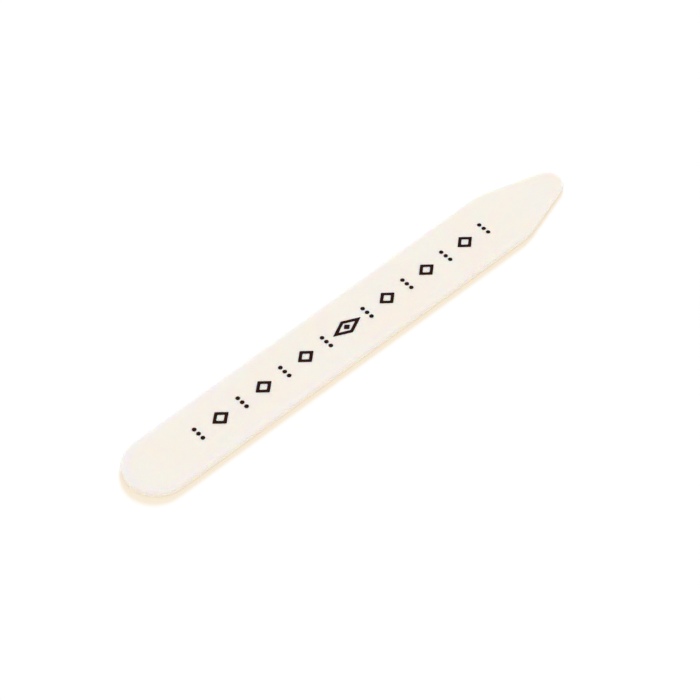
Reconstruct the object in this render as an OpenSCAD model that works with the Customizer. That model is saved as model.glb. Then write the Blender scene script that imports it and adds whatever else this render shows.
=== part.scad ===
// Collar stay: a flat plastic blade with one round end and one tapered, blunt end.
// It lies flat on Z = 0 with its tip towards +X, and the origin is under the middle of its length.

/* [Blade] */
// Length from the round end to the tip
stay_length = 70; // [56:0.5:76]
// Diameter of the round end
end_width = 8.65; // [8:0.05:9]
// Width across the shoulders, where the sides meet the taper
shoulder_width = 9.25; // [9:0.05:10.5]
// Thickness of the blade
thickness = 0.75; // [0.6:0.05:1.2]

/* [Point] */
// Length of the taper, from the shoulders to the tip
taper_length = 10; // [8:0.5:14]
// Radius of the blunt tip
tip_radius = 2.05; // [1.5:0.05:2.5]
// Radius that eases each shoulder
shoulder_radius = 10; // [6:0.5:14]

/* [Edges] */
// Radius of the edges all round, as tumbling leaves them
edge_radius = 0.22; // [0.1:0.01:0.28]

/* [Hidden] */
$fn = 96;

// Colour of the plastic
ivory = [0.97, 0.94, 0.9];
// Each edge turns from face to side wall in this many narrow flats
edge_flats = 3;
// How far each round part stands proud of the straight edges beside it, so that their surfaces cross
proud = 0.002;
// How far the shoulder's cutter reaches past the surface on each side
spare = 1;

// Positions in the plan are measured from the round end, along the middle of the blade
end_centre = [end_width / 2, 0];
tip_centre = [stay_length - tip_radius, 0];
shoulder = [stay_length - taper_length, shoulder_width / 2];

// Unit vector at an angle in the plan
function heading(angle) = [cos(angle), sin(angle)];

// Slope of the line through a point that passes above a circle and just touches it
function touching_slope(point, centre, radius) =
    let (apart = point - centre)
    atan(apart.y / apart.x) - sign(apart.x) * asin(radius / norm(apart));

side_slope = touching_slope(shoulder, end_centre, end_width / 2 - proud);
taper_slope = touching_slope(shoulder, tip_centre, tip_radius - proud);
// Where the taper touches the tip's circle, taken midway across the rounded edge
tip_touch_x = tip_centre.x - (tip_radius - edge_radius / 2) * sin(taper_slope);

// The arc that eases the shoulder turns through twice the half turn, round the ease centre
half_turn = (side_slope - taper_slope) / 2;
shoulder_normal = 90 + (side_slope + taper_slope) / 2;
ease_depth = shoulder_radius - proud;
ease_centre = shoulder - ease_depth / cos(half_turn) * heading(shoulder_normal);
ease_length = ease_depth * tan(half_turn);
ease_start = shoulder - ease_length * heading(side_slope);
ease_end = shoulder + ease_length * heading(taper_slope);

// Section of the blade from X = 0, inside it, out to a rounded edge at a given reach
module edge_section(reach) {
    lower = [
        for (i = [0:edge_flats])
            [reach - edge_radius, edge_radius] + edge_radius * heading(90 * i / edge_flats - 90)
    ];
    upper = [for (i = [edge_flats:-1:0]) [lower[i].x, thickness - lower[i].y]];
    polygon(concat([[0, 0]], lower, upper, [[0, thickness]]));
}

// Round plate with rounded edges
module round_plate(centre, radius) {
    translate([centre.x, centre.y, 0]) rotate_extrude() edge_section(radius);
}

// Plate on the inner side of a straight rounded edge through the shoulder
module half_plate(slope) {
    translate([shoulder.x, shoulder.y, 0]) rotate([90, 0, 90 + slope])
        translate([-stay_length, 0, -stay_length])
            linear_extrude(2 * stay_length) edge_section(stay_length);
}

// The straight stretch of the blade, from the round end's centre to the start of the tip
module straight_stretch() {
    intersection() {
        half_plate(side_slope);
        half_plate(taper_slope);
        mirror([0, 1, 0]) half_plate(side_slope);
        mirror([0, 1, 0]) half_plate(taper_slope);
        translate([end_centre.x, -shoulder_width, 0])
            cube([tip_touch_x - end_centre.x, 2 * shoulder_width, thickness]);
    }
}

// What the easing takes off a sharp shoulder
module shoulder_cut() {
    out_of_side = spare * heading(90 + side_slope);
    out_of_taper = spare * heading(90 + taper_slope);
    difference() {
        translate([0, 0, -spare]) linear_extrude(thickness + 2 * spare)
            polygon([
                ease_start - out_of_side,
                ease_start + out_of_side,
                ease_end + out_of_taper,
                ease_end - out_of_taper
            ]);
        round_plate(ease_centre, shoulder_radius);
    }
}

module stay() {
    color(ivory) translate([-stay_length / 2, 0, 0]) difference() {
        union() {
            straight_stretch();
            round_plate(end_centre, end_width / 2);
            round_plate(tip_centre, tip_radius);
        }
        shoulder_cut();
        mirror([0, 1, 0]) shoulder_cut();
    }
}

stay();
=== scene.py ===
"""A collar stay of ivory plastic with a printed ornament, modelled round its frame on a white stage."""

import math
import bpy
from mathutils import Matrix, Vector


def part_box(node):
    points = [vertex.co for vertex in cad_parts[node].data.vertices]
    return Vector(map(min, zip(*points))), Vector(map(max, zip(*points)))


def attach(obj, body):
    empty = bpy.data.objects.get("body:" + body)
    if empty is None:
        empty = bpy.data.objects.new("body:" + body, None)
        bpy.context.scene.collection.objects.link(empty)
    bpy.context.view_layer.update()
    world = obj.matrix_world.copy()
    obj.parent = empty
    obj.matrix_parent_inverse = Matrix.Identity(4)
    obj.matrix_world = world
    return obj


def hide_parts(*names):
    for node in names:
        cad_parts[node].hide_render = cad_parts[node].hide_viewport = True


bl_info = {
    "name": "Collar Stay",
    "version": (1, 0, 0),
    "blender": (4, 5, 0),
    "location": "3D View > Sidebar > Collar Stay",
    "description": "Models a collar stay, prints its ornament and sets the stage that it lies on",
    "category": "Object",
}

import bmesh
import bpy
from bpy.props import FloatProperty, FloatVectorProperty, IntProperty, PointerProperty
from mathutils import Quaternion, Vector

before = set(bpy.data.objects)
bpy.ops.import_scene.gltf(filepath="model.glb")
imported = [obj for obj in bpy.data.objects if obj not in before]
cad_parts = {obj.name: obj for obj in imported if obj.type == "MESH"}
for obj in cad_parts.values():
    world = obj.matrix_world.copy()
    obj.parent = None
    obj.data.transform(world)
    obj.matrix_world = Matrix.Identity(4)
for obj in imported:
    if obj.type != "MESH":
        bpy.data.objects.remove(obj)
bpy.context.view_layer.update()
STAY_LOW, STAY_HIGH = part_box("stay")

MM = 0.001
UP = Vector((0, 0, 1))
# Places nearer to each other than this are one place
WELD = 0.001 * MM
# How many parts each round stretch is made of
EDGE_PARTS = 8
END_PARTS = 40
SHOULDER_PARTS = 12
TIP_PARTS = 24
INK_CORNER_PARTS = 4
DOT_PARTS = 24
FLOOR_CORNER_PARTS = 12
# Cuts across the soft fall of each face
FALL_CUTS = 7
# Faces that meet at a smaller angle than this are shaded as one
SMOOTH_ANGLE = math.radians(40)
# Rubs on a surface are this many times as long as they are wide
RUB_STRETCH = 14
# The Mix node's colour sockets, by number, since its other sockets have the same names
MIX_MASK, MIX_FIRST, MIX_SECOND, MIX_RESULT = 0, 6, 7, 2
# Width of the camera's film, in millimetres as Blender has it
FILM_WIDTH = 36


class BladeSettings(bpy.types.PropertyGroup):
    """Sizes and colours of the blade. Its length and thickness come from the frame."""

    end_width: FloatProperty(
        name="End width", description="Diameter of the round end",
        default=8.65 * MM, subtype="DISTANCE", precision=5)
    shoulder_width: FloatProperty(
        name="Shoulder width", description="Width where the sides would meet the taper without an arc",
        default=9.25 * MM, subtype="DISTANCE", precision=5)
    taper_length: FloatProperty(
        name="Taper length", description="Length from the shoulders to the tip",
        default=10 * MM, subtype="DISTANCE", precision=5)
    tip_radius: FloatProperty(
        name="Tip radius", description="Radius of the blunt tip",
        default=2.05 * MM, subtype="DISTANCE", precision=5)
    shoulder_radius: FloatProperty(
        name="Shoulder radius", description="Radius that eases each shoulder",
        default=10 * MM, subtype="DISTANCE", precision=5)
    edge_radius: FloatProperty(
        name="Edge radius", description="Radius of the tumbled edges all round",
        default=0.22 * MM, subtype="DISTANCE", precision=5)
    edge_fall: FloatProperty(
        name="Edge fall", description="How far each face falls off towards its rounded edge",
        default=0.045 * MM, subtype="DISTANCE", precision=5)
    colour: FloatVectorProperty(
        name="Ivory", description="Colour of the plastic",
        default=(0.842, 0.829, 0.777), subtype="COLOR", size=3, min=0, max=1)
    warm_colour: FloatVectorProperty(
        name="Warm ivory", description="Colour of its warmer patches",
        default=(0.851, 0.820, 0.755), subtype="COLOR", size=3, min=0, max=1)
    # Painted light and shade: the rims of the faces get a greyer, cooler tone that stands in for the light
    # on the rounded edges
    rim_light_colour: FloatVectorProperty(
        name="Rim", description="Colour that the rim of each face nears towards the round end",
        default=(0.838, 0.822, 0.812), subtype="COLOR", size=3, min=0, max=1)
    # Painted light and shade: the side wall gets a greyer, bluer tone than the face, standing in for how it
    # is lit edge on
    side_light_colour: FloatVectorProperty(
        name="Side", description="Colour of the side wall, where the plastic is seen edge on",
        default=(0.822, 0.825, 0.835), subtype="COLOR", size=3, min=0, max=1)
    # The rim's painted light and shade blends into the face over this width
    rim_width: FloatProperty(
        name="Rim width", description="Width over which the rubbed rim blends into the rest of the face",
        default=0.6 * MM, subtype="DISTANCE", precision=5)
    side_depth: FloatProperty(
        name="Side depth", description="Depth below the face at which the side's colour has taken over",
        default=0.088 * MM, subtype="DISTANCE", precision=6)
    patch_size: FloatProperty(
        name="Patch size", description="Size of the warmer patches",
        default=6 * MM, subtype="DISTANCE", precision=5)
    grain_size: FloatProperty(
        name="Grain size", description="Size of the fine grain of the surface",
        default=0.12 * MM, subtype="DISTANCE", precision=6)
    rub_length: FloatProperty(
        name="Rub length", description="Length of the faint rubs along the blade",
        default=6 * MM, subtype="DISTANCE", precision=5)
    relief: FloatProperty(
        name="Relief", description="Height of the grain and the rubs",
        default=0.003 * MM, subtype="DISTANCE", precision=6)
    roughness: FloatProperty(
        name="Roughness", description="Roughness of the satin surface",
        default=0.42, subtype="FACTOR", min=0, max=1)
    light_depth: FloatProperty(
        name="Light depth", description="How deep light sinks into the plastic",
        default=0.6 * MM, subtype="DISTANCE", precision=5)
    light_colour: FloatVectorProperty(
        name="Light colour", description="Share of that depth that red, green and blue light each reach",
        default=(1.0, 0.7, 0.4), subtype="COLOR", size=3, min=0, max=1)


class OrnamentSettings(bpy.types.PropertyGroup):
    """Sizes and colours of the printed ornament."""

    centre: FloatProperty(
        name="Centre", description="Place of the ornament's middle along the blade",
        default=-1.6 * MM, subtype="DISTANCE", precision=5)
    height: FloatProperty(
        name="Height", description="Height of the open lozenges, across the blade",
        default=2.2 * MM, subtype="DISTANCE", precision=5)
    lozenge_width: FloatProperty(
        name="Lozenge width", description="Width of the open lozenges, along the blade",
        default=2.5 * MM, subtype="DISTANCE", precision=5)
    stroke: FloatProperty(
        name="Stroke", description="Width of the printed line",
        default=0.4 * MM, subtype="DISTANCE", precision=5)
    corner_radius: FloatProperty(
        name="Corner radius", description="How far the ink has drawn in at each corner",
        default=0.11 * MM, subtype="DISTANCE", precision=5)
    pitch: FloatProperty(
        name="Pitch", description="Distance from one motif to the next",
        default=3.3 * MM, subtype="DISTANCE", precision=5)
    side_count: IntProperty(
        name="Motifs a side", description="Number of motifs on each side of the middle one",
        default=7, min=1)
    wide_share: FloatProperty(
        name="Wide lozenge", description="Width of the middle lozenge, as a share of the others' width",
        default=1.8, min=1)
    small_share: FloatProperty(
        name="Small lozenge", description="Size of the solid lozenge in it, as a share of the others' size",
        default=0.4, subtype="FACTOR", min=0, max=1)
    dot_share: FloatProperty(
        name="Dot", description="Radius of a dot, as a share of the stroke",
        default=0.7, min=0)
    row_share: FloatProperty(
        name="Row", description="Distance from one dot to the next, as a share of the height",
        default=0.36, subtype="FACTOR", min=0, max=1)
    ink_thickness: FloatProperty(
        name="Ink thickness", description="Height of the ink above the plastic",
        default=0.012 * MM, subtype="DISTANCE", precision=6)
    colour: FloatVectorProperty(
        name="Ink", description="Colour of the ink",
        default=(0.016, 0.004, 0.002), subtype="COLOR", size=3, min=0, max=1)
    thin_share: FloatProperty(
        name="Thin ink", description="Brightness of the ink where it is thin, as a share of the rest",
        default=2.4, min=1)
    unevenness: FloatProperty(
        name="Unevenness", description="How thin the thin patches are",
        default=0.6, subtype="FACTOR", min=0, max=1)
    patch_size: FloatProperty(
        name="Patch size", description="Size of the thin patches",
        default=0.25 * MM, subtype="DISTANCE", precision=6)
    grain_size: FloatProperty(
        name="Grain size", description="Size of the fine grain of the ink",
        default=0.08 * MM, subtype="DISTANCE", precision=6)
    rub_length: FloatProperty(
        name="Rub length", description="Length of the faint rubs along the ink",
        default=2 * MM, subtype="DISTANCE", precision=5)
    relief: FloatProperty(
        name="Relief", description="Height of the grain and the rubs",
        default=0.002 * MM, subtype="DISTANCE", precision=6)
    roughness: FloatProperty(
        name="Roughness", description="Roughness of the matt ink",
        default=0.7, subtype="FACTOR", min=0, max=1)
    sheen: FloatProperty(
        name="Sheen", description="Strength of the reflections in the ink",
        default=0.08, subtype="FACTOR", min=0, max=1)


class StageSettings(bpy.types.PropertyGroup):
    """The floor, the lights and the camera."""

    aim: FloatVectorProperty(
        name="Aim", description="Point that the camera looks at",
        default=(-3.305 * MM, -2.42 * MM, 0), subtype="TRANSLATION", size=3, precision=5)
    azimuth: FloatProperty(
        name="Azimuth", description="Direction that the camera looks in, with 0 along +Y and 90 along -X",
        default=math.radians(-41.12), subtype="ANGLE")
    elevation: FloatProperty(
        name="Elevation", description="Height of the camera above the floor, as an angle",
        default=math.radians(52.12), subtype="ANGLE")
    roll: FloatProperty(
        name="Roll", description="Turn of the camera about its own line of sight",
        default=math.radians(-1.45), subtype="ANGLE")
    distance: FloatProperty(
        name="Distance", description="Distance from the camera to the point that it looks at",
        default=230 * MM, subtype="DISTANCE")
    picture_width: FloatProperty(
        name="Picture width", description="Width that the picture covers at that distance",
        default=83.69 * MM, subtype="DISTANCE", precision=5)
    floor_size: FloatProperty(
        name="Floor size", description="Length of the floor's sides",
        default=4, subtype="DISTANCE")
    floor_corner: FloatProperty(
        name="Floor corner", description="How far the floor's corners are rounded",
        default=0.3, subtype="DISTANCE")
    floor_thickness: FloatProperty(
        name="Floor thickness", description="Thickness of the floor",
        default=20 * MM, subtype="DISTANCE")
    floor_gap: FloatProperty(
        name="Floor gap", description="Gap that keeps the floor clear of the stay's underside",
        default=0.005 * MM, subtype="DISTANCE", precision=6)
    floor_colour: FloatVectorProperty(
        name="Floor", description="Colour of the floor",
        default=(0.48, 0.71, 0.89), subtype="COLOR", size=3, min=0, max=1)
    patch_colour: FloatVectorProperty(
        name="Floor patches", description="Colour of the floor's soft patches",
        default=(0.484, 0.71, 0.886), subtype="COLOR", size=3, min=0, max=1)
    patch_size: FloatProperty(
        name="Patch size", description="Size of the floor's soft patches",
        default=50 * MM, subtype="DISTANCE")
    floor_roughness: FloatProperty(
        name="Floor roughness", description="Roughness of the matt floor",
        default=0.9, subtype="FACTOR", min=0, max=1)
    glow_colour: FloatVectorProperty(
        name="Glow", description="Colour of the light that comes up through the floor, as on a light table",
        default=(0.505, 0.258, 0.065), subtype="COLOR", size=3, min=0, max=1)
    sky_colour: FloatVectorProperty(
        name="Sky", description="Colour of the even light from all round",
        default=(0.889, 0.818, 0.70), subtype="COLOR", size=3, min=0, max=1)
    sky_lean: FloatProperty(
        name="Sky lean", description="How much brighter than overhead the sky is behind the camera",
        default=0.2, min=0, max=1)
    key_colour: FloatVectorProperty(
        name="Key", description="Colour of the soft light behind the stay",
        default=(0.50, 0.69, 1.0), subtype="COLOR", size=3, min=0, max=1)
    key_strength: FloatProperty(
        name="Key strength", description="Strength of the soft light behind the stay", default=2.39, min=0)
    key_turn: FloatProperty(
        name="Key turn", description="Turn of the soft light from straight behind the stay, to the left",
        default=math.radians(-10), subtype="ANGLE")
    key_height: FloatProperty(
        name="Key height", description="Height of the soft light above the floor, as an angle",
        default=math.radians(30), subtype="ANGLE")
    key_spread: FloatProperty(
        name="Key spread", description="Width of the soft light, as an angle",
        default=math.radians(20), subtype="ANGLE")


def open_primitive(name, add, **settings):
    """Adds a primitive, puts its place in its mesh and opens it in edit mode."""
    bpy.ops.object.select_all(action="DESELECT")
    add(**settings)
    piece = bpy.context.active_object
    piece.name = name
    bpy.ops.object.transform_apply(location=True, rotation=True, scale=True)
    bpy.ops.object.mode_set(mode="EDIT")
    return piece


def close_piece():
    """Leaves edit mode."""
    bpy.ops.object.mode_set(mode="OBJECT")


def select_where(kind, wanted):
    """Selects only those vertices, edges or faces of the edited mesh whose middle is wanted."""
    bpy.ops.mesh.select_mode(type=kind)
    bpy.ops.mesh.select_all(action="DESELECT")
    data = bpy.context.edit_object.data
    mesh = bmesh.from_edit_mesh(data)
    parts = {"VERT": mesh.verts, "EDGE": mesh.edges, "FACE": mesh.faces}[kind]
    for part in parts:
        corners = [part] if kind == "VERT" else part.verts
        middle = sum((corner.co for corner in corners), Vector()) / len(corners)
        part.select_set(wanted(middle))
    mesh.select_flush_mode()
    bmesh.update_edit_mesh(data)


def require_closed(piece):
    """Raises an error if a piece's mesh has an open or a shared edge."""
    mesh = bmesh.new()
    mesh.from_mesh(piece.data)
    closed = all(edge.is_manifold for edge in mesh.edges)
    mesh.free()
    if not closed:
        raise RuntimeError(f"The mesh of {piece.name} is not closed")


def near(value, target):
    """Whether two lengths are the same, for picking parts of a mesh by their place."""
    return abs(value - target) < WELD


def heading(angle):
    """Unit vector at an angle in the plan."""
    return Vector((math.cos(angle), math.sin(angle), 0))


def touching_slope(point, centre, radius):
    """Slope of the line through a point that passes above a circle and just touches it."""
    apart = point - centre
    side = math.copysign(1, apart.x)
    return math.atan(apart.y / apart.x) - side * math.asin(radius / apart.length)


def sweep_round(centre, turn, steps):
    """Carries the selected section round an arc, clockwise as seen from above."""
    bpy.ops.mesh.spin(steps=steps, angle=turn, center=centre, axis=UP)


def sweep_straight(start, end):
    """Carries the selected section from one point to another."""
    bpy.ops.mesh.extrude_region_move(TRANSFORM_OT_translate={"value": end - start})


def model_section(settings):
    """Section of the blade's edge, upright at the very end of the blade, open on its inner side."""
    thickness = STAY_HIGH.z - STAY_LOW.z
    middle = (STAY_LOW.z + STAY_HIGH.z) / 2
    section = open_primitive(
        "stay_blade", bpy.ops.mesh.primitive_plane_add, size=thickness, rotation=(math.pi / 2, 0, 0),
        location=(STAY_LOW.x + thickness / 2, 0, middle))
    select_where("VERT", lambda place: near(place.x, STAY_LOW.x))
    bpy.ops.mesh.bevel(offset=settings.edge_radius, segments=EDGE_PARTS, affect="VERTICES")
    # Both faces fall off from the section's inner side towards the edge just rounded
    for side in (-1, 1):
        select_where("EDGE", lambda place: near(place.z, middle + side * thickness / 2))
        bpy.ops.mesh.subdivide(number_cuts=FALL_CUTS)
        select_where("VERT", lambda place: (
            place.x - STAY_LOW.x < settings.edge_radius + WELD and side * (place.z - middle) > WELD))
        bpy.ops.transform.translate(
            value=-side * settings.edge_fall * UP,
            use_proportional_edit=True, use_proportional_connected=True,
            proportional_edit_falloff="SHARP", proportional_size=thickness - settings.edge_radius)
    # The face goes, and so does the side where the blade goes on
    select_where("FACE", lambda place: True)
    bpy.ops.mesh.delete(type="ONLY_FACE")
    select_where("EDGE", lambda place: near(place.x, STAY_LOW.x + thickness))
    bpy.ops.mesh.delete(type="EDGE")
    return section


def model_rim(settings):
    """The blade's rim along one half of its outline, from the round end to the tip."""
    end_radius = settings.end_width / 2
    end_centre = Vector((STAY_LOW.x + end_radius, 0, 0))
    tip_centre = Vector((STAY_HIGH.x - settings.tip_radius, 0, 0))
    shoulder = Vector((STAY_HIGH.x - settings.taper_length, settings.shoulder_width / 2, 0))
    side_slope = touching_slope(shoulder, end_centre, end_radius)
    taper_slope = touching_slope(shoulder, tip_centre, settings.tip_radius)
    shoulder_turn = side_slope - taper_slope
    ease_length = settings.shoulder_radius * math.tan(shoulder_turn / 2)
    side_out = heading(math.pi / 2 + side_slope)
    taper_out = heading(math.pi / 2 + taper_slope)
    ease_start = shoulder - ease_length * heading(side_slope)
    ease_end = shoulder + ease_length * heading(taper_slope)

    rim = model_section(settings)
    select_where("EDGE", lambda place: True)
    sweep_round(end_centre, math.pi / 2 - side_slope, END_PARTS)
    sweep_straight(end_centre + end_radius * side_out, ease_start)
    sweep_round(ease_start - settings.shoulder_radius * side_out, shoulder_turn, SHOULDER_PARTS)
    sweep_straight(ease_end, tip_centre + settings.tip_radius * taper_out)
    sweep_round(tip_centre, math.pi / 2 + taper_slope, TIP_PARTS)
    close_piece()
    return rim


def apply_modifier(piece, kind, **settings):
    """Adds a modifier to a piece and applies it."""
    modifier = piece.modifiers.new(kind.title(), kind)
    for name, value in settings.items():
        setattr(modifier, name, value)
    bpy.context.view_layer.objects.active = piece
    bpy.ops.object.modifier_apply(modifier=modifier.name)


def fill_border(height):
    """Fills the open border that the edited rim has at a height with one flat face."""
    bpy.ops.mesh.select_mode(type="EDGE")
    bpy.ops.mesh.select_all(action="DESELECT")
    bpy.ops.mesh.select_non_manifold()
    data = bpy.context.edit_object.data
    mesh = bmesh.from_edit_mesh(data)
    for edge in mesh.edges:
        if edge.select and not near(edge.verts[0].co.z, height):
            edge.select_set(False)
    mesh.select_flush_mode()
    bmesh.update_edit_mesh(data)
    bpy.ops.mesh.edge_face_add()


def mark_rims(settings):
    """Insets both faces of the edited blade and marks their rims for a painted tone of light and shade,
    less so towards the tip.
    """
    # Only the two flat faces have their middle on the blade's own middle line
    select_where("FACE", lambda place: near(place.y, 0))
    bpy.ops.mesh.inset(thickness=settings.rim_width, use_individual=True)
    data = bpy.context.edit_object.data
    mesh = bmesh.from_edit_mesh(data)
    painted_rim_light = mesh.verts.layers.float.new("painted_rim_light")
    inner = {vertex for face in mesh.faces if face.select for vertex in face.verts}
    for vertex in mesh.verts:
        depth = min(STAY_HIGH.z - vertex.co.z, vertex.co.z - STAY_LOW.z)
        # The painted rim tone is strongest at the round end and fades towards the tip
        if vertex not in inner and depth < settings.edge_radius / 2:
            from_tip = (STAY_HIGH.x - vertex.co.x) / (STAY_HIGH.x - STAY_LOW.x)
            vertex[painted_rim_light] = from_tip ** 2
    bmesh.update_edit_mesh(data)


def model_blade(settings):
    """The whole blade: its rim mirrored to the other half, with both faces filled."""
    blade = model_rim(settings)
    apply_modifier(blade, "MIRROR", use_axis=(False, True, False), merge_threshold=WELD)
    bpy.ops.object.mode_set(mode="EDIT")
    bpy.ops.mesh.select_all(action="SELECT")
    bpy.ops.mesh.remove_doubles(threshold=WELD)
    fill_border(STAY_LOW.z)
    fill_border(STAY_HIGH.z)
    bpy.ops.mesh.select_all(action="SELECT")
    bpy.ops.mesh.normals_make_consistent(inside=False)
    mark_rims(settings)
    close_piece()
    bpy.ops.object.shade_smooth_by_angle(angle=SMOOTH_ANGLE)
    apply_modifier(blade, "WEIGHTED_NORMAL", keep_sharp=True)
    return blade


def raise_ink(thickness):
    """Gives the flat outline being edited its thickness."""
    bpy.ops.mesh.select_all(action="SELECT")
    bpy.ops.mesh.extrude_region_move(TRANSFORM_OT_translate={"value": thickness * UP})
    bpy.ops.mesh.select_all(action="SELECT")
    bpy.ops.mesh.normals_make_consistent(inside=False)


def model_lozenge(name, width, height, stroke, settings):
    """A lozenge in one printed line, or a solid one where the stroke is none."""
    lozenge = open_primitive(
        name, bpy.ops.mesh.primitive_circle_add, vertices=4, radius=height / 2, fill_type="NGON",
        location=(settings.centre, 0, STAY_HIGH.z))
    bpy.ops.mesh.select_all(action="SELECT")
    bpy.ops.transform.resize(
        value=(width / height, 1, 1), center_override=(settings.centre, 0, STAY_HIGH.z))
    if stroke:
        bpy.ops.mesh.inset(thickness=stroke)
        bpy.ops.mesh.delete(type="FACE")
    bpy.ops.mesh.select_all(action="SELECT")
    bpy.ops.mesh.bevel(offset=settings.corner_radius, segments=INK_CORNER_PARTS, affect="VERTICES")
    raise_ink(settings.ink_thickness)
    close_piece()
    return lozenge


def model_dot(name, radius, settings):
    """A round dot of ink."""
    dot = open_primitive(
        name, bpy.ops.mesh.primitive_circle_add, vertices=DOT_PARTS, radius=radius, fill_type="NGON",
        location=(settings.centre, 0, STAY_HIGH.z))
    raise_ink(settings.ink_thickness)
    close_piece()
    return dot


def copy_to(piece, shift):
    """A copy of a piece, with a mesh of its own, moved by a shift."""
    bpy.ops.object.select_all(action="DESELECT")
    piece.select_set(True)
    bpy.context.view_layer.objects.active = piece
    bpy.ops.object.duplicate(linked=False)
    twin = bpy.context.active_object
    twin.location += shift
    return twin


def model_ornament(settings):
    """A row of open lozenges and upright rows of dots, with a wide double lozenge in the middle."""
    width, height, stroke = settings.lozenge_width, settings.height, settings.stroke
    lozenge = model_lozenge("lozenge", width, height, stroke, settings)
    wide = model_lozenge("wide_lozenge", settings.wide_share * width, height, stroke, settings)
    small = model_lozenge(
        "small_lozenge", settings.small_share * width, settings.small_share * height, 0, settings)
    dot = model_dot("dot", settings.dot_share * stroke, settings)
    parts = [wide, small]
    for place in range(1, settings.side_count + 1):
        for side in (-1, 1):
            along = Vector((side * place * settings.pitch, 0, 0))
            if place % 2:
                for row in (-1, 0, 1):
                    across = Vector((0, row * settings.row_share * height, 0))
                    parts.append(copy_to(dot, along + across))
            else:
                parts.append(copy_to(lozenge, along))
    # The lozenge and the dot that were copied go, and the rest is joined into one piece
    bpy.ops.object.select_all(action="DESELECT")
    for part in (lozenge, dot):
        part.select_set(True)
    bpy.ops.object.delete()
    for part in parts:
        part.select_set(True)
    bpy.context.view_layer.objects.active = wide
    bpy.ops.object.join()
    wide.name = "ornament"
    bpy.ops.object.transform_apply(location=True, rotation=True, scale=True)
    return wide


def new_group(name, inputs, outputs):
    """An empty shader group with named sockets. Returns its tree, its input node and its output node."""
    tree = bpy.data.node_groups.new(name, "ShaderNodeTree")
    for label, kind, default in inputs:
        socket = tree.interface.new_socket(label, in_out="INPUT", socket_type=kind)
        if default is not None:
            socket.default_value = default
    for label, kind in outputs:
        tree.interface.new_socket(label, in_out="OUTPUT", socket_type=kind)
    return tree, tree.nodes.new("NodeGroupInput"), tree.nodes.new("NodeGroupOutput")


def math_node(tree, operation, first, second=None):
    """A Math node whose inputs are numbers or sockets. Returns its value."""
    node = tree.nodes.new("ShaderNodeMath")
    node.operation = operation
    for socket, value in zip(node.inputs, (first, second)):
        if isinstance(value, bpy.types.NodeSocket):
            tree.links.new(value, socket)
        elif value is not None:
            socket.default_value = value
    return node.outputs["Value"]


def blend_colours(tree, mask, first, second):
    """A Mix node from a first to a second colour, each a colour or a socket. Returns its colour."""
    blend = tree.nodes.new("ShaderNodeMix")
    blend.data_type = "RGBA"
    for number, value in ((MIX_MASK, mask), (MIX_FIRST, first), (MIX_SECOND, second)):
        socket = blend.inputs[number]
        if isinstance(value, bpy.types.NodeSocket):
            tree.links.new(value, socket)
        else:
            socket.default_value = value
    return blend.outputs[MIX_RESULT]


def mottle_group():
    """Soft patches of two colours, as in moulded plastic or laid ink."""
    tree, given, made = new_group(
        "Mottle",
        [
            ("Position", "NodeSocketVector", None),
            ("Patch Size", "NodeSocketFloat", 0.004),
            ("Colour", "NodeSocketColor", (1, 1, 1, 1)),
            ("Patch Colour", "NodeSocketColor", (1, 1, 1, 1)),
            ("Amount", "NodeSocketFloat", 1.0),
        ],
        [("Colour", "NodeSocketColor")],
    )
    noise = tree.nodes.new("ShaderNodeTexNoise")
    noise.inputs["Detail"].default_value = 3
    noise.inputs["Roughness"].default_value = 0.55
    tree.links.new(given.outputs["Position"], noise.inputs["Vector"])
    tree.links.new(math_node(tree, "DIVIDE", 1.0, given.outputs["Patch Size"]), noise.inputs["Scale"])
    spread = tree.nodes.new("ShaderNodeMapRange")
    spread.interpolation_type = "SMOOTHSTEP"
    spread.inputs["From Min"].default_value = 0.35
    spread.inputs["From Max"].default_value = 0.65
    tree.links.new(noise.outputs["Fac"], spread.inputs["Value"])
    mask = math_node(tree, "MULTIPLY", spread.outputs["Result"], given.outputs["Amount"])
    colour = blend_colours(tree, mask, given.outputs["Colour"], given.outputs["Patch Colour"])
    tree.links.new(colour, made.inputs["Colour"])
    return tree


def satin_group():
    """Fine grain and faint lengthwise rubs, as a height and a roughness."""
    tree, given, made = new_group(
        "Satin",
        [
            ("Position", "NodeSocketVector", None),
            ("Grain Size", "NodeSocketFloat", 0.0001),
            ("Rub Length", "NodeSocketFloat", 0.004),
            ("Roughness", "NodeSocketFloat", 0.45),
            ("Roughness Spread", "NodeSocketFloat", 0.1),
        ],
        [("Height", "NodeSocketFloat"), ("Roughness", "NodeSocketFloat")],
    )
    grain = tree.nodes.new("ShaderNodeTexNoise")
    grain.inputs["Detail"].default_value = 2
    tree.links.new(given.outputs["Position"], grain.inputs["Vector"])
    tree.links.new(math_node(tree, "DIVIDE", 1.0, given.outputs["Grain Size"]), grain.inputs["Scale"])
    squeeze = tree.nodes.new("ShaderNodeVectorMath")
    squeeze.operation = "MULTIPLY"
    squeeze.inputs[1].default_value = (1, RUB_STRETCH, RUB_STRETCH)
    tree.links.new(given.outputs["Position"], squeeze.inputs[0])
    rubs = tree.nodes.new("ShaderNodeTexNoise")
    rubs.inputs["Detail"].default_value = 4
    tree.links.new(squeeze.outputs["Vector"], rubs.inputs["Vector"])
    tree.links.new(math_node(tree, "DIVIDE", 1.0, given.outputs["Rub Length"]), rubs.inputs["Scale"])
    height = math_node(tree, "ADD", grain.outputs["Fac"], rubs.outputs["Fac"])
    tree.links.new(height, made.inputs["Height"])
    centred = math_node(tree, "SUBTRACT", rubs.outputs["Fac"], 0.5)
    swing = math_node(tree, "MULTIPLY", centred, given.outputs["Roughness Spread"])
    tree.links.new(math_node(tree, "ADD", given.outputs["Roughness"], swing), made.inputs["Roughness"])
    return tree


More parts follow.
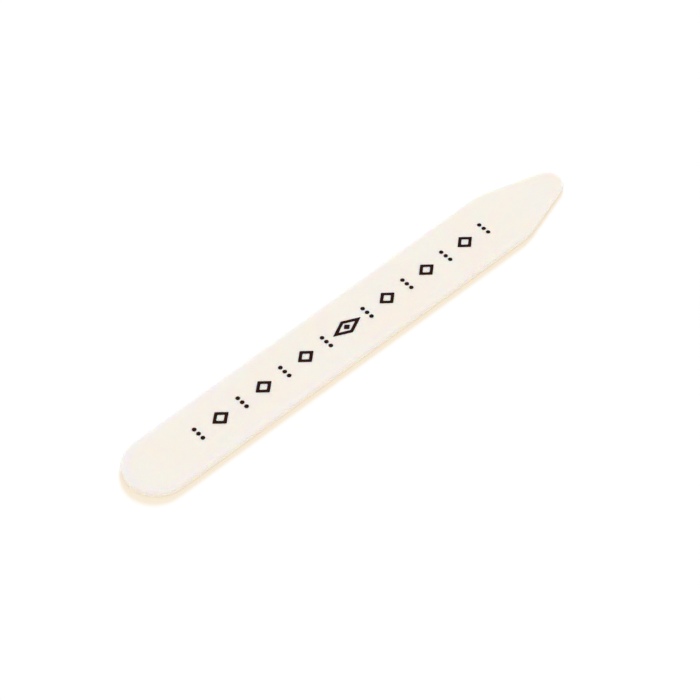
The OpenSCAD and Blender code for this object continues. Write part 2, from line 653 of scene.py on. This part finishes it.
def place_group(tree, group, **values):
    """Places a shader group in a material's tree. An underscore in a name stands for a space."""
    node = tree.nodes.new("ShaderNodeGroup")
    node.node_tree = group
    for name, value in values.items():
        socket = node.inputs[name.replace("_", " ")]
        if isinstance(value, bpy.types.NodeSocket):
            tree.links.new(value, socket)
        else:
            socket.default_value = value
    return node


def shared_group(name, build):
    """A shader group by name, built the first time that it is asked for."""
    return bpy.data.node_groups.get(name) or build()


def new_material(name):
    """A new material. Returns it, its tree, its Principled shader and the object's own coordinates."""
    material = bpy.data.materials.new(name)
    material.use_nodes = True
    tree = material.node_tree
    shader = next(node for node in tree.nodes if node.type == "BSDF_PRINCIPLED")
    position = tree.nodes.new("ShaderNodeTexCoord").outputs["Object"]
    return material, tree, shader, position


def opaque(colour):
    """A colour with its alpha."""
    return (*colour, 1.0)


def finish_surface(tree, shader, position, settings):
    """Drives a shader's roughness and normal from the satin group."""
    group = place_group(
        tree, shared_group("Satin", satin_group), Position=position, Grain_Size=settings.grain_size,
        Rub_Length=settings.rub_length, Roughness=settings.roughness)
    tree.links.new(group.outputs["Roughness"], shader.inputs["Roughness"])
    bump = tree.nodes.new("ShaderNodeBump")
    bump.inputs["Distance"].default_value = settings.relief
    tree.links.new(group.outputs["Height"], bump.inputs["Height"])
    tree.links.new(bump.outputs["Normal"], shader.inputs["Normal"])


def ivory_plastic(settings):
    """Ivory plastic that light sinks into a little, with warm patches, a satin, tumbled surface, and
    painted light and shade on the rims of its faces and on its side walls.
    """
    material, tree, shader, position = new_material("ivory_plastic")
    mottle = place_group(
        tree, shared_group("Mottle", mottle_group), Position=position, Patch_Size=settings.patch_size,
        Colour=opaque(settings.colour), Patch_Colour=opaque(settings.warm_colour))
    # Painted light and shade: a greyer, cooler tone on the rims of the faces, fading towards the tip
    painted_rim_light = tree.nodes.new("ShaderNodeAttribute")
    painted_rim_light.attribute_name = "painted_rim_light"
    rim = blend_colours(tree, painted_rim_light.outputs["Fac"], mottle.outputs["Colour"], opaque(settings.rim_light_colour))
    # Painted light and shade: below the face, the side wall takes its greyer, bluer tone
    axes = tree.nodes.new("ShaderNodeSeparateXYZ")
    tree.links.new(position, axes.inputs["Vector"])
    side_light_mask = tree.nodes.new("ShaderNodeMapRange")
    side_light_mask.interpolation_type = "SMOOTHSTEP"
    side_light_mask.inputs["From Min"].default_value = STAY_HIGH.z
    side_light_mask.inputs["From Max"].default_value = STAY_HIGH.z - settings.side_depth
    tree.links.new(axes.outputs["Z"], side_light_mask.inputs["Value"])
    side = blend_colours(tree, side_light_mask.outputs["Result"], rim, opaque(settings.side_light_colour))
    tree.links.new(side, shader.inputs["Base Color"])
    finish_surface(tree, shader, position, settings)
    shader.inputs["Subsurface Weight"].default_value = 1.0
    shader.inputs["Subsurface Radius"].default_value = settings.light_colour
    shader.inputs["Subsurface Scale"].default_value = settings.light_depth
    return material


def printing_ink(settings):
    """Dark brown ink, laid a little unevenly."""
    material, tree, shader, position = new_material("printing_ink")
    thin = tuple(settings.thin_share * channel for channel in settings.colour)
    mottle = place_group(
        tree, shared_group("Mottle", mottle_group), Position=position, Patch_Size=settings.patch_size,
        Colour=opaque(settings.colour), Patch_Colour=opaque(thin), Amount=settings.unevenness)
    tree.links.new(mottle.outputs["Colour"], shader.inputs["Base Color"])
    finish_surface(tree, shader, position, settings)
    shader.inputs["Specular IOR Level"].default_value = settings.sheen
    return material


def white_floor(settings):
    """Matt white floor with some light coming up through it."""
    material, tree, shader, position = new_material("white_floor")
    mottle = place_group(
        tree, shared_group("Mottle", mottle_group), Position=position, Patch_Size=settings.patch_size,
        Colour=opaque(settings.floor_colour), Patch_Colour=opaque(settings.patch_colour))
    tree.links.new(mottle.outputs["Colour"], shader.inputs["Base Color"])
    shader.inputs["Emission Color"].default_value = opaque(settings.glow_colour)
    shader.inputs["Emission Strength"].default_value = 1.0
    shader.inputs["Roughness"].default_value = settings.floor_roughness
    shader.inputs["Specular IOR Level"].default_value = 0.0
    return material


class COLLAR_STAY_OT_blade(bpy.types.Operator):
    """Model the plastic blade in place of the plain solid"""

    bl_idname = "collar_stay.blade"
    bl_label = "Model Blade"

    def execute(self, context):
        settings = context.scene.collar_stay_blade
        blade = model_blade(settings)
        require_closed(blade)
        blade.data.materials.append(ivory_plastic(settings))
        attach(blade, "root")
        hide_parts("stay")
        return {"FINISHED"}


class COLLAR_STAY_OT_ornament(bpy.types.Operator):
    """Print the ornament on the upper face of the blade"""

    bl_idname = "collar_stay.ornament"
    bl_label = "Print Ornament"

    def execute(self, context):
        settings = context.scene.collar_stay_ornament
        ornament = model_ornament(settings)
        require_closed(ornament)
        ornament.data.materials.append(printing_ink(settings))
        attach(ornament, "root")
        return {"FINISHED"}


def model_floor(settings):
    """A wide board with round corners, just under the stay."""
    floor = open_primitive(
        "floor", bpy.ops.mesh.primitive_plane_add, size=settings.floor_size,
        location=(0, 0, STAY_LOW.z - settings.floor_gap))
    bpy.ops.mesh.select_all(action="SELECT")
    bpy.ops.mesh.bevel(offset=settings.floor_corner, segments=FLOOR_CORNER_PARTS, affect="VERTICES")
    bpy.ops.mesh.select_all(action="SELECT")
    bpy.ops.mesh.extrude_region_move(TRANSFORM_OT_translate={"value": -settings.floor_thickness * UP})
    bpy.ops.mesh.select_all(action="SELECT")
    bpy.ops.mesh.normals_make_consistent(inside=False)
    close_piece()
    floor.data.materials.append(white_floor(settings))
    return floor


def direction_to(azimuth, elevation):
    """Unit vector from the stay to where it is looked at from, along an azimuth and down an elevation."""
    return math.cos(elevation) * heading(azimuth - math.pi / 2) + math.sin(elevation) * UP


def place_camera(settings):
    """The camera, at the photograph's angle to the stay."""
    back = direction_to(settings.azimuth, settings.elevation)
    bpy.ops.object.camera_add(location=Vector(settings.aim) + settings.distance * back)
    camera = bpy.context.active_object
    turn = Quaternion(UP, settings.roll)
    camera.rotation_euler = ((-back).to_track_quat("-Z", "Y") @ turn).to_euler()
    camera.data.sensor_width = FILM_WIDTH
    camera.data.lens = FILM_WIDTH * settings.distance / settings.picture_width
    camera.data.clip_start = 10 * MM
    bpy.context.scene.camera = camera


def place_lights(settings):
    """Even light from all round, and a soft light from behind the stay."""
    world = bpy.data.worlds.new("white_room")
    world.use_nodes = True
    tree = world.node_tree
    background = tree.nodes["Background"]
    # Where the camera sees the room itself, it is plain white
    seen = tree.nodes.new("ShaderNodeLightPath").outputs["Is Camera Ray"]
    sky = blend_colours(tree, seen, opaque(settings.sky_colour), (1, 1, 1, 1))
    tree.links.new(sky, background.inputs["Color"])
    nearness = tree.nodes.new("ShaderNodeVectorMath")
    nearness.operation = "DOT_PRODUCT"
    nearness.inputs[1].default_value = direction_to(settings.azimuth, 0)
    tree.links.new(tree.nodes.new("ShaderNodeTexCoord").outputs["Object"], nearness.inputs[0])
    lean = math_node(tree, "MULTIPLY", nearness.outputs["Value"], settings.sky_lean)
    lean = math_node(tree, "MULTIPLY", lean, math_node(tree, "SUBTRACT", 1.0, seen))
    tree.links.new(math_node(tree, "ADD", 1.0, lean), background.inputs["Strength"])
    bpy.context.scene.world = world
    bpy.ops.object.light_add(type="SUN")
    key = bpy.context.active_object
    key.name = "key_light"
    towards = direction_to(settings.azimuth + settings.key_turn + math.pi, settings.key_height)
    key.rotation_euler = towards.to_track_quat("Z", "Y").to_euler()
    key.data.angle = settings.key_spread
    key.data.color = settings.key_colour
    key.data.energy = settings.key_strength
    # Its mirror image would brighten one end of the blade
    key.visible_glossy = False


class COLLAR_STAY_OT_stage(bpy.types.Operator):
    """Set the floor, the lights and the camera"""

    bl_idname = "collar_stay.stage"
    bl_label = "Set Stage"

    def execute(self, context):
        settings = context.scene.collar_stay_stage
        floor = model_floor(settings)
        place_lights(settings)
        place_camera(settings)
        if context.scene.camera is None:
            raise RuntimeError("The stage has no camera")
        context.scene.view_settings.view_transform = "Standard"
        return {"FINISHED"}


class COLLAR_STAY_PT_panel(bpy.types.Panel):
    """Sizes, colours and steps of the collar stay"""

    bl_idname = "COLLAR_STAY_PT_panel"
    bl_label = "Collar Stay"
    bl_space_type = "VIEW_3D"
    bl_region_type = "UI"
    bl_category = "Collar Stay"

    def draw(self, context):
        scene = context.scene
        for settings, operator in (
            (scene.collar_stay_blade, "collar_stay.blade"),
            (scene.collar_stay_ornament, "collar_stay.ornament"),
            (scene.collar_stay_stage, "collar_stay.stage"),
        ):
            column = self.layout.column(align=True)
            for name in settings.bl_rna.properties.keys():
                if name not in ("rna_type", "name"):
                    column.prop(settings, name)
            column.operator(operator)


SETTINGS = {
    "collar_stay_blade": BladeSettings,
    "collar_stay_ornament": OrnamentSettings,
    "collar_stay_stage": StageSettings,
}
CLASSES = (
    *SETTINGS.values(),
    COLLAR_STAY_OT_blade,
    COLLAR_STAY_OT_ornament,
    COLLAR_STAY_OT_stage,
    COLLAR_STAY_PT_panel,
)


def register():
    """Registers the classes and gives the scene their settings."""
    for cls in CLASSES:
        bpy.utils.register_class(cls)
    for name, cls in SETTINGS.items():
        setattr(bpy.types.Scene, name, PointerProperty(type=cls))


def unregister():
    """Takes away what register gave."""
    for name in SETTINGS:
        delattr(bpy.types.Scene, name)
    for cls in reversed(CLASSES):
        bpy.utils.unregister_class(cls)


def main():
    """Makes the blade, the ornament and the stage."""
    register()
    bpy.ops.collar_stay.blade()
    bpy.ops.collar_stay.ornament()
    bpy.ops.collar_stay.stage()


if __name__ == "__main__":
    main()
